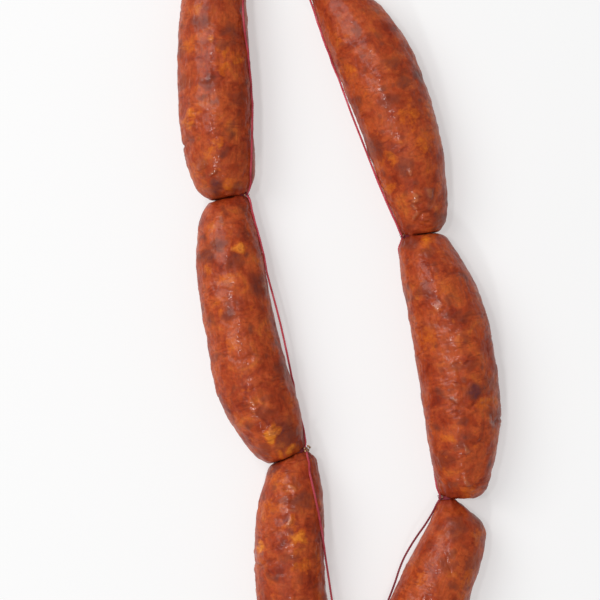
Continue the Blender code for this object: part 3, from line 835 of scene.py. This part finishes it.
links = {}
for number, (name, ties) in enumerate(LINK_ENDS.items(), start=1):
    link = fine_copy(name, f"sausage_{number}")
    points = point_array(link)
    head, foot = map(neck, ties)
    middle = (head + foot) / 2
    line = SideLine(head, foot, middle_of(name))
    near, turn = tie_facts(points, ties, middle)
    facts = {"straight": straighten(points, head, foot), "tie_near": near, "tie_turn": turn,
             "crease": crease_facts(points, name, skins),
             "press": press_facts(points, name, ties, middle),
             "fat_near": lump_facts(points, line, FAT[name]),
             "lean_near": lump_facts(points, line, LEAN[name]),
             "knob": lump_facts(points, line, KNOBS[name]),
             "fold": fold_facts(points, line, FOLDS[name]),
             "dried": dried_facts(points, name, ties)}
    for fact, values in facts.items():
        store(link, fact, values)
    grow(link, RELIEF, {
        "Easing": 12, "Swell": 0.22 * MM, "Lump Size": 9.0 * MM, "Lump Height": 1.6 * MM,
        "Pebble Size": 3.0 * MM, "Pebble Height": PEBBLES[name] * MM,
        "Wrinkle Spacing": 3.2 * MM, "Wrinkle Depth": WRINKLES[name] * MM, "Pleats": 11.0,
        "Pleat Height": 0.25 * MM, "Knob Height": 0.9 * MM, "Fold Depth": 1.0 * MM,
        "Seed": 0.7 * number, "Material": casing})
    links[name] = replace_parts(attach(link, "root"), name)
    print(f"{link.name}: {len(link.data.polygons)} faces")

# %% [markdown]
# ## The twine as a material
#
# Butcher's twine is cotton, dyed crimson, dull and slightly hairy. The dye takes unevenly,
# so the colour drifts along its length. Fat from the links has darkened it in places, and on
# the turns wound round the necks the darker colour is also painted shade.

# %% Dyed cotton twine
DYE_DRIFT = 9.0 * MM            # length over which the dye changes
FIBRE = 0.12 * MM               # a bundle of fibres, as one alone is too fine to show
DYE_STOPS = ((0.32, "#a8343e", 1.0), (0.50, "#cc4c58", 1.0), (0.68, "#e07c88", 1.0))


def twine_material():
    """Cotton dyed crimson: dull, uneven, darker with fat stain, and painted shade on neck turns.
    """
    material, tree, shader = new_material("dyed_cotton_twine")
    place = add(tree, "ShaderNodeTexCoord").outputs["Object"]
    drift = add(tree, "ShaderNodeTexNoise", {"Vector": place, "Scale": 1 / DYE_DRIFT,
                                             "Detail": 4.0, "Roughness": 0.7})
    dye = set_stops(add(tree, "ShaderNodeValToRGB", (drift,)), DYE_STOPS)[0]
    stain_and_shade = add(tree, "ShaderNodeAttribute", attribute_name="stain_and_shade").outputs["Fac"]
    # 571522 is the colour of fat stain, and on the turns round the necks also painted shade
    stained_and_shaded = add(tree, "ShaderNodeMix", {"Factor": stain_and_shade, 6: dye, 7: colour("#571522")},
                  data_type="RGBA").outputs[2]
    fibre = add(tree, "ShaderNodeTexNoise", {"Vector": place, "Scale": 1 / FIBRE,
                                             "Detail": 2.0})
    hairs = add(tree, "ShaderNodeBump", {"Height": fibre, "Strength": 0.6,
                                         "Distance": 0.05 * MM})
    fill(tree, shader, {"Base Color": stained_and_shaded, "Normal": hairs, "Roughness": 0.8,
                        "Specular IOR Level": 0.25, "Sheen Weight": 0.25,
                        "Sheen Tint": colour("#e8a5b0")})
    return material


twine_cotton = twine_material()
print("material", twine_cotton.name, "with", len(twine_cotton.node_tree.nodes), "nodes")

# %% [markdown]
# ## Laid twine
#
# The twine is three strands laid round each other. The tree takes a bare line, copies it
# once for each strand, turns every copy round the line in a long spiral and gives it
# thickness. At a cut end the strands fray: they spread and get thinner.

# %% Spiral of a strand, step by step
SPIRAL_STEPS = (
    ("share", "DIVIDE", "copy", "Strands"),
    ("lays", "DIVIDE", "run", "Lay Length"),
    ("turns", "ADD", "lays", "share"),
    ("angle", "MULTIPLY", "turns", math.tau),
    ("spread", "MULTIPLY_ADD", "frayed", "Fray Spread", 1.0),
    ("reach", "MULTIPLY", "Lay Radius", "spread"),
    ("cosine", "COSINE", "angle"),
    ("sine", "SINE", "angle"),
    ("on normal", "MULTIPLY", "reach", "cosine"),
    ("on side", "MULTIPLY", "reach", "sine"),
    ("thin", "MULTIPLY_ADD", "frayed", -0.6, 1.0),
)
print("a strand's place takes", len(SPIRAL_STEPS), "steps")


# %% Laid twine tree
def laid_twine_tree():
    """Turn a bare line into strands laid round it, frayed at the far end."""
    sizes = ("Strand Radius", "Lay Radius", "Lay Length", "Step", "Fray Length",
             "Fray Spread")
    tree, inputs = new_tree("laid_twine", {"Strands": "Int", **dict.fromkeys(sizes, "Float")})
    line = add(tree, "GeometryNodeMeshToCurve", {"Mesh": inputs["Geometry"]})
    even = add(tree, "GeometryNodeResampleCurve", {"Curve": line, "Length": inputs["Step"]},
               mode="LENGTH")
    copies = add(tree, "GeometryNodeDuplicateElements",
                 {"Geometry": even, "Amount": inputs["Strands"]}, domain="SPLINE")
    run = add(tree, "GeometryNodeSplineParameter").outputs["Length"]
    whole = add(tree, "GeometryNodeSplineLength").outputs["Length"]
    to_end = add(tree, "ShaderNodeMath", (whole, run), operation="SUBTRACT")
    frayed = add(tree, "ShaderNodeMapRange",
                 {"Value": to_end, "From Min": 0.0, "From Max": inputs["Fray Length"],
                  "To Min": 1.0, "To Max": 0.0}, interpolation_type="SMOOTHSTEP")
    parts = {"run": run, "frayed": frayed, "copy": copies.outputs["Duplicate Index"],
             **{name: inputs[name] for name in ("Strands", *sizes)}}
    for result, operation, *values in SPIRAL_STEPS:
        parts[result] = add(tree, "ShaderNodeMath", [parts.get(v, v) for v in values],
                            operation=operation)
    normal = add(tree, "GeometryNodeInputNormal")
    tangent = add(tree, "GeometryNodeInputTangent")
    side = add(tree, "ShaderNodeVectorMath", (tangent, normal), operation="CROSS_PRODUCT")
    ways = [add(tree, "ShaderNodeVectorMath", {0: way, "Scale": parts[factor]},
                operation="SCALE")
            for way, factor in ((normal, "on normal"), (side, "on side"))]
    offset = add(tree, "ShaderNodeVectorMath", ways, operation="ADD")
    laid = add(tree, "GeometryNodeSetPosition", {"Geometry": copies, "Offset": offset})
    profile = add(tree, "GeometryNodeCurvePrimitiveCircle",
                  {"Resolution": 6, "Radius": inputs["Strand Radius"]})
    body = add(tree, "GeometryNodeCurveToMesh",
               {"Curve": laid, "Profile Curve": profile, "Scale": parts["thin"],
                "Fill Caps": True})
    return close_tree(tree, inputs, body)


LAID_TWINE = laid_twine_tree()
TWINE_R = 0.55 * MM


def lay(name, points, thickness=1.0, closed=False, fray=0.0, stain_and_shade=0.3):
    """Turn a line of points into twine; thickness below 1 is twine pulled tight."""
    edges = [(i, i + 1) for i in range(len(points) - 1)]
    if closed:
        edges.append((len(points) - 1, 0))
    radius = TWINE_R * thickness
    line = mesh_object(name, points, edges)
    store(line, "stain_and_shade", np.broadcast_to(stain_and_shade, len(points)))
    return grow(line, LAID_TWINE, {
        "Strands": 3, "Strand Radius": 0.52 * radius, "Lay Radius": 0.50 * radius,
        "Lay Length": 6.4 * radius, "Step": 0.6 * radius, "Fray Length": max(fray, 0.01 * MM),
        "Fray Spread": 2.2 if fray else 0.0, "Material": twine_cotton})


print(f"the twine is {2 * TWINE_R / MM:.1f} mm thick")

# %% [markdown]
# ## The twine's route
#
# The twine goes down one side of the ring and up the other, always on the inner side, and
# crosses every tie. Between two ties it is laid along the link: over the belly of one, free
# of the hollow side of the next. Each link has a short list of places, from head to foot:
# the share of the way, how far inside the straight string, and how high above the table,
# in mm. A smooth line through them is eased and lifted until it rests on the dressed skin.

# %% Route of the twine
ROUTE = {
    "link_1": ((0.10, 3.0, 19.0), (0.29, 2.6, 24.0), (0.45, 3.9, 22.5), (0.64, 5.3, 21.0),
               (0.80, 4.8, 23.5), (0.92, 3.6, 22.0)),
    "link_2": ((0.08, 1.3, 16.5), (0.30, 2.2, 17.0), (0.52, 3.1, 17.0), (0.68, 2.8, 15.5),
               (0.82, 2.0, 10.5), (0.93, 1.6, 12.5)),
    "link_3": ((0.07, 1.4, 22.5), (0.14, 2.3, 26.0), (0.26, 3.2, 24.5), (0.38, 3.2, 19.5),
               (0.60, 3.2, 17.0), (0.86, 2.4, 16.0)),
    "link_4": ((0.12, 2.7, 15.0), (0.21, 4.6, 14.5), (0.30, 5.6, 14.5), (0.42, 4.4, 15.0),
               (0.70, 3.2, 15.5), (0.88, 2.4, 16.0)),
    "link_5": ((0.10, 3.4, 9.5), (0.28, 3.1, 7.5), (0.50, 2.3, 7.5), (0.75, 2.4, 8.0),
               (0.92, 2.4, 11.0)),
    "link_6": ((0.08, 0.6, 16.5), (0.30, 1.4, 17.0), (0.48, 2.2, 17.5), (0.64, 2.4, 18.5),
               (0.80, 2.5, 19.0), (0.93, 1.8, 17.5)),
}
SOAKED = {"link_1": 0.25, "link_2": 0.0, "link_3": 0.28, "link_4": 0.75, "link_5": 0.2,
          "link_6": 0.1}        # how much fat the twine has drawn from each link
CASING_ORDER = (("link_1", False), ("link_2", False), ("link_3", False),
                ("link_4", True), ("link_5", True), ("link_6", True))
STEPS_BESIDE_LINK = 90
PASSES = 4                      # rounds of easing the twine and lifting it off the skin
TWINE_REST = 0.42 * MM          # the twine's middle lies this far off the skin, so it digs in
CORE_OUT = 15.0 * MM            # a link's core runs this far outside the string
CORE_MARGIN = 0.13              # and stops this share of a link short of each tie
print("places chosen by hand:", sum(map(len, ROUTE.values())))

# %% [markdown]
# The line between the chosen places is a smooth curve. A point of it that lies too deep is
# moved straight away from a core inside the link. A ray cast from the core the same way
# finds the skin, and the twine's middle comes to rest just above that.


# %% Beside a link
def smooth_line(points, count):
    """Evenly spaced places on a smooth line through a few points."""
    points = np.array(points, float)
    steps = np.linalg.norm(np.diff(points, axis=0), axis=1)
    way = np.concatenate(([0.0], np.cumsum(steps)))
    slopes = np.diff(points, axis=0) / steps[:, None]
    before, after = steps[:-1, None], steps[1:, None]
    inner = (slopes[:-1] * after + slopes[1:] * before) / (before + after)
    tangents = np.vstack((slopes[:1], inner, slopes[-1:]))
    places = []
    for at in np.linspace(0.0, way[-1], count):
        i = int(np.clip(np.searchsorted(way, at) - 1, 0, len(steps) - 1))
        t = (at - way[i]) / steps[i]
        places.append(Vector((2 * t**3 - 3 * t**2 + 1) * points[i]
                             + (t**3 - 2 * t**2 + t) * steps[i] * tangents[i]
                             + (3 * t**2 - 2 * t**3) * points[i + 1]
                             + (t**3 - t**2) * steps[i] * tangents[i + 1]))
    return places


def pass_tie(tie):
    """Where the twine crosses a tie, just clear of the turns on the neck."""
    low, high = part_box(tie)
    return neck(tie) - unit(TIES[tie].crease) * ((high.z - low.z) / 2 + TWINE_R)


def lift_off(point, line, skin):
    """Move a point of twine away from its link's core until it rests on the skin."""
    share = (point - line.start).dot(line.down) / line.length
    share = min(max(share, CORE_MARGIN), 1.0 - CORE_MARGIN)
    core = line.place(share, CORE_OUT, line.start.z)
    way = (point - core).normalized()
    _, normal, _, distance = skin.ray_cast(core, way)
    needed = distance + TWINE_REST / max(0.5, normal.dot(way))
    return core + way * max(needed, (point - core).length)


def beside_link(name, skin):
    """The twine's line along one link, from head tie to foot tie."""
    head, foot = LINK_ENDS[name]
    line = SideLine(string_point(head), string_point(foot), middle_of(name))
    points = [pass_tie(head)]
    for share, inside, height in ROUTE[name]:
        points.append(line.place(share, -inside * MM, height * MM))
    route = smooth_line(points + [pass_tie(foot)], STEPS_BESIDE_LINK)
    for _ in range(PASSES):
        inner = [0.25 * a + 0.5 * b + 0.25 * c
                 for a, b, c in zip(route, route[1:], route[2:])]
        route[1:-1] = [lift_off(point, line, skin) for point in inner]
    return route


print("points of twine beside each link:", STEPS_BESIDE_LINK)

# %% [markdown]
# The six stretches are joined in the casing's order. Both ends of the twine run into the
# knot, over a short bare stretch that sags a little. Points that lie too close together are
# left out, and the stains are blurred so that none starts abruptly.

# %% Twine round the ring
BARE_STAIN = 0.2                # fat in the bare stretch beside the knot
BLUR = 9                        # points that a stain is averaged over
CLOSEST = 0.2 * MM              # points nearer than this to the last one are left out
route = []
stains = []
for name, upwards in CASING_ORDER:
    stretch = beside_link(name, surface_of(links[name].data))
    route += stretch[::-1] if upwards else stretch
    stains += [SOAKED[name]] * len(stretch)
knot = middle_of("hanging_knot")
sag = Vector((0.0, 0.0, 0.6 * MM))
route = [knot, (knot + route[0]) / 2 - sag] + route + [(knot + route[-1]) / 2 - sag, knot]
bare = [BARE_STAIN] * (BLUR // 2 + 2)   # two of them for the knot and the sagging point
stains = np.convolve(bare + stains + bare, np.ones(BLUR) / BLUR, "valid")
spaced = [index for index in range(len(route))
          if index == 0 or (route[index] - route[index - 1]).length > CLOSEST]
route = [route[index] for index in spaced]
ring_twine = lay("ring_twine", route, stain_and_shade=stains[spaced])
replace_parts(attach(ring_twine, "root"), "twine")
length = sum((b - a).length for a, b in zip(route, route[1:]))
print(f"twine round the ring: {length / MM:.0f} mm")

# %% [markdown]
# ## Ties, knot and loose ends
#
# At each neck a separate piece of twine is wound twice round the casing, then hitched once
# and a half round the running twine, which is what holds that in place. Where the ring
# hangs from, the twine's ends are tied in an overhand knot, and the ends stick out, frayed.

# %% Turns of twine
TIE_TURNS = 2.25                # round the neck
HITCH_TURNS = 1.5               # round the running twine
TIE_STEPS = 54                  # steps along the turns round the neck
HITCH_STEPS = 30                # and along the hitch
TIGHT = 0.78                    # twine wound under tension is thinner
UP = Vector((0.0, 0.0, 1.0))


def tie_line(tie):
    """Round the neck, then the other way round the running twine."""
    low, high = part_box(tie)
    out = unit(TIES[tie].crease)
    axis = out.cross(UP)
    wound_r = (high.z - low.z) / 2 - TWINE_R
    hitch_r = (TIGHT + 1.0) * TWINE_R
    spread = 0.9 * TWINE_R
    points = []
    for k in range(TIE_STEPS + 1):
        turned = k / TIE_STEPS * TIE_TURNS
        angle = math.tau * (turned - TIE_TURNS) + math.pi
        points.append(neck(tie) + wound_r * (math.cos(angle) * out + math.sin(angle) * UP)
                      + axis * spread * (2 * k / TIE_STEPS - 1))
    for k in range(2, HITCH_STEPS + 1):
        angle = -math.tau * k / HITCH_STEPS * HITCH_TURNS
        points.append(pass_tie(tie) + hitch_r * (math.cos(angle) * out + math.sin(angle) * UP)
                      + axis * spread * (1 - 2.4 * k / HITCH_STEPS))
    return points


for name in TIES:
    # the neck turns get the dark colour strongly: fat stain, and painted shade where they sit in
    # the crease
    wound = lay(f"wound_{name}", tie_line(name), thickness=TIGHT, fray=0.8 * MM, stain_and_shade=0.75)
    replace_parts(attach(wound, "root"), name)
    print(f"{wound.name}: {len(wound.data.polygons)} faces")

# %% [markdown]
# The overhand knot follows a trefoil, the simplest closed knot there is.

# %% Knot
KNOT_SCALE = 0.46 * MM
KNOT_STEPS = 48
trefoil = []
for k in range(KNOT_STEPS):
    t = math.tau * k / KNOT_STEPS
    trefoil.append(knot + KNOT_SCALE * Vector((math.sin(t) + 2 * math.sin(2 * t),
                                               math.cos(t) - 2 * math.cos(2 * t),
                                               -1.4 * math.sin(3 * t))))
overhand = lay("overhand_knot", trefoil, thickness=0.9, closed=True)
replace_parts(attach(overhand, "root"), "hanging_knot")
print(f"{overhand.name}: {len(overhand.data.polygons)} faces")

# %% [markdown]
# Each loose end runs out of the knot through a few places, given in mm from its middle.

# %% Loose ends
TAILS = {
    "twine_tail_1": ((0.0, 0.0, 0.0), (3.5, 5.5, 0.6), (5.0, 10.5, -1.5), (7.8, 14.5, -6.0)),
    "twine_tail_2": ((0.0, 0.0, 0.0), (-1.6, 6.0, 0.4), (-0.6, 11.0, -2.5), (-3.0, 14.0, -7.5)),
}
TAIL_STEPS = 24
for name, steps in TAILS.items():
    tail = smooth_line([knot + Vector(step) * MM for step in steps], TAIL_STEPS)
    loose = lay(f"frayed_{name}", tail, fray=3.0 * MM)
    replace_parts(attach(loose, "root"), name)
    print(f"{loose.name}: {len(loose.data.polygons)} faces")

# %% [markdown]
# ## Scraps of casing
#
# Where a neck was twisted and tied, loose bits of casing have dried to brittle brown curls.
# Most necks keep one or two, hidden between the links, and one has a small tuft. Every curl
# is the same bent sheet, turned and sized by chance, so a tree sets them on a few points.


# %% Dried casing
CURL_DRIFT = 0.8 * MM           # size of a lighter or darker patch on a curl
CURL_STOPS = ((0.35, "#70452a", 1.0), (0.50, "#946540", 1.0), (0.68, "#bd9064", 1.0))


def dried_casing_material():
    """Bare casing, dried hard: brown, brittle and a little glossy."""
    material, tree, shader = new_material("dried_casing")
    place = add(tree, "ShaderNodeTexCoord").outputs["Object"]
    drift = add(tree, "ShaderNodeTexNoise", {"Vector": place, "Scale": 1 / CURL_DRIFT,
                                             "Detail": 3.0})
    brown = set_stops(add(tree, "ShaderNodeValToRGB", (drift,)), CURL_STOPS)[0]
    fill(tree, shader, {"Base Color": brown, "Roughness": 0.45})
    return material


dried_casing = dried_casing_material()
print("material", dried_casing.name, "with", len(dried_casing.node_tree.nodes), "nodes")

# %% [markdown]
# A curl starts as a thin sheet, one unit long and half as wide. It is bowed along its
# length, crumpled a little, and then set on every point with its own turn and size.


# %% Scraps tree
def scraps_tree():
    """Set a bent, crumpled curl on every point."""
    tree, inputs = new_tree("casing_scraps", {"Length": "Float", "Thickness": "Float",
                                              "Curl": "Float", "Seed": "Int"})
    size = add(tree, "ShaderNodeCombineXYZ", (1.0, 0.5, inputs["Thickness"]))
    sheet = add(tree, "GeometryNodeMeshCube", {"Size": size, "Vertices X": 9,
                                               "Vertices Y": 5, "Vertices Z": 2})
    place = add(tree, "GeometryNodeInputPosition")
    along = add(tree, "ShaderNodeSeparateXYZ", (place,))
    squared = add(tree, "ShaderNodeMath", (along, along), operation="MULTIPLY")
    bow = add(tree, "ShaderNodeMath", (squared, inputs["Curl"]), operation="MULTIPLY")
    crumple = add(tree, "ShaderNodeTexNoise", {"Vector": place, "Scale": 3.0, "Detail": 2.0})
    raised = add(tree, "ShaderNodeMath", (crumple, 0.5, bow), operation="MULTIPLY_ADD")
    lift = add(tree, "ShaderNodeCombineXYZ", {2: raised})
    bent = add(tree, "GeometryNodeSetPosition", {"Geometry": sheet, "Offset": lift})
    turn = add(tree, "FunctionNodeRandomValue", {0: (0.0, 0.0, 0.0),
                                                 1: (math.tau, math.tau, math.tau),
                                                 "Seed": inputs["Seed"]},
               data_type="FLOAT_VECTOR")
    grown = add(tree, "FunctionNodeRandomValue", {2: 0.6, 3: 1.2, "Seed": inputs["Seed"]},
                data_type="FLOAT")
    scale = add(tree, "ShaderNodeMath", (grown.outputs[1], inputs["Length"]),
                operation="MULTIPLY")
    placed = add(tree, "GeometryNodeInstanceOnPoints",
                 {"Points": inputs["Geometry"], "Instance": bent, "Rotation": turn,
                  "Scale": scale})
    return close_tree(tree, inputs, placed)


SCRAPS = scraps_tree()

# %% [markdown]
# Each scrap has its tie, and how far from the neck it lies: outwards, up, and along the
# casing, in mm.

# %% Scraps at the ties
Scrap = namedtuple("Scrap", "tie out up side")
PLACES = (
    Scrap("tie_3", -3.9, 3.0, -1.0), Scrap("tie_3", -4.5, 2.7, -0.8),
    Scrap("tie_3", -4.2, 2.5, -0.2), Scrap("tie_3", -4.9, 1.9, 0.2),
    Scrap("tie_3", -4.4, 2.8, 0.7), Scrap("tie_3", -3.8, 3.2, 0.3),
    Scrap("tie_3", -4.7, 2.3, 1.2),
    Scrap("tie_2", -2.0, 3.2, 0.3), Scrap("tie_2", -1.2, 3.5, -0.8),
    Scrap("tie_6", -2.4, 2.9, 0.0), Scrap("tie_5", -2.0, 2.6, 0.4),
    Scrap("tie_4", 0.5, 3.2, 0.5),
)
scrap_points = []
for scrap in PLACES:
    out = unit(TIES[scrap.tie].crease)
    along = Vector((-out.y, out.x, 0.0))
    scrap_points.append(neck(scrap.tie) + out * scrap.out * MM + along * scrap.side * MM
                        + UP * scrap.up * MM)
scraps = grow(mesh_object("casing_scraps", scrap_points), SCRAPS, {
    "Length": 1.6 * MM, "Thickness": 0.07, "Curl": 1.4, "Seed": 5,
    "Material": dried_casing})
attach(scraps, "root")
print(f"{len(scrap_points)} scraps, {len(scraps.data.polygons)} faces")

# %% [markdown]
# ## Table and light
#
# The ring lies on a white light table. The table glows a little, which is why the shadows
# stay pale and the lower edges of the links aren't lost in the dark.

# %% Floor
HALF = 3.0                      # m from the middle of the table to its edge
floor_material, floor_tree, floor_shader = new_material("white_light_table")
fill(floor_tree, floor_shader, {
    "Base Color": colour("#bcbcbc"), "Roughness": 0.8, "Specular IOR Level": 0.1,
    "Emission Color": colour("#ffffff"), "Emission Strength": 0.44})
floor = mesh_object("floor", [(-HALF, -HALF, 0.0), (HALF, -HALF, 0.0), (HALF, HALF, 0.0),
                              (-HALF, HALF, 0.0)], faces=[(0, 1, 2, 3)])
floor.data.materials.append(floor_material)
print("table", 2 * HALF, "m wide")

# %% [markdown]
# One large softbox stands to the upper left: each link has a broad soft band of light left
# of its middle, a darker right flank, and a short soft shadow. Two small lamps, one almost
# overhead and one in front, do what a softbox can't: they put small bright glints on the
# greasy skin wherever a lump turns it towards them. A pale room fills in the rest.

# %% Lights
Lamp = namedtuple("Lamp", "place size power")
LAMPS = {
    "key_softbox": Lamp((-1.4, 0.98, 2.1), 1.8, 46.0),
    "glint_lamp": Lamp((-0.32, 0.10, 1.50), 0.10, 3.6),
    "front_lamp": Lamp((-0.25, -0.90, 1.30), 0.14, 3.4),
}
world = bpy.data.worlds.new("studio")
world.use_nodes = True
fill(world.node_tree, world.node_tree.nodes["Background"], {"Color": colour("#ffffff"),
                                                            "Strength": 0.32})
bpy.context.scene.world = world
bpy.context.scene.view_settings.view_transform = "Standard"

for name, (place, size, power) in LAMPS.items():
    light = bpy.data.lights.new(name, "AREA")
    light.shape = "SQUARE"
    light.size = size
    light.energy = power
    lamp = bpy.data.objects.new(name, light)
    lamp.location = place
    lamp.rotation_euler = (-Vector(place)).to_track_quat("-Z", "Y").to_euler()
    bpy.context.scene.collection.objects.link(lamp)

print("lights:", [lamp.name for lamp in bpy.data.lights])
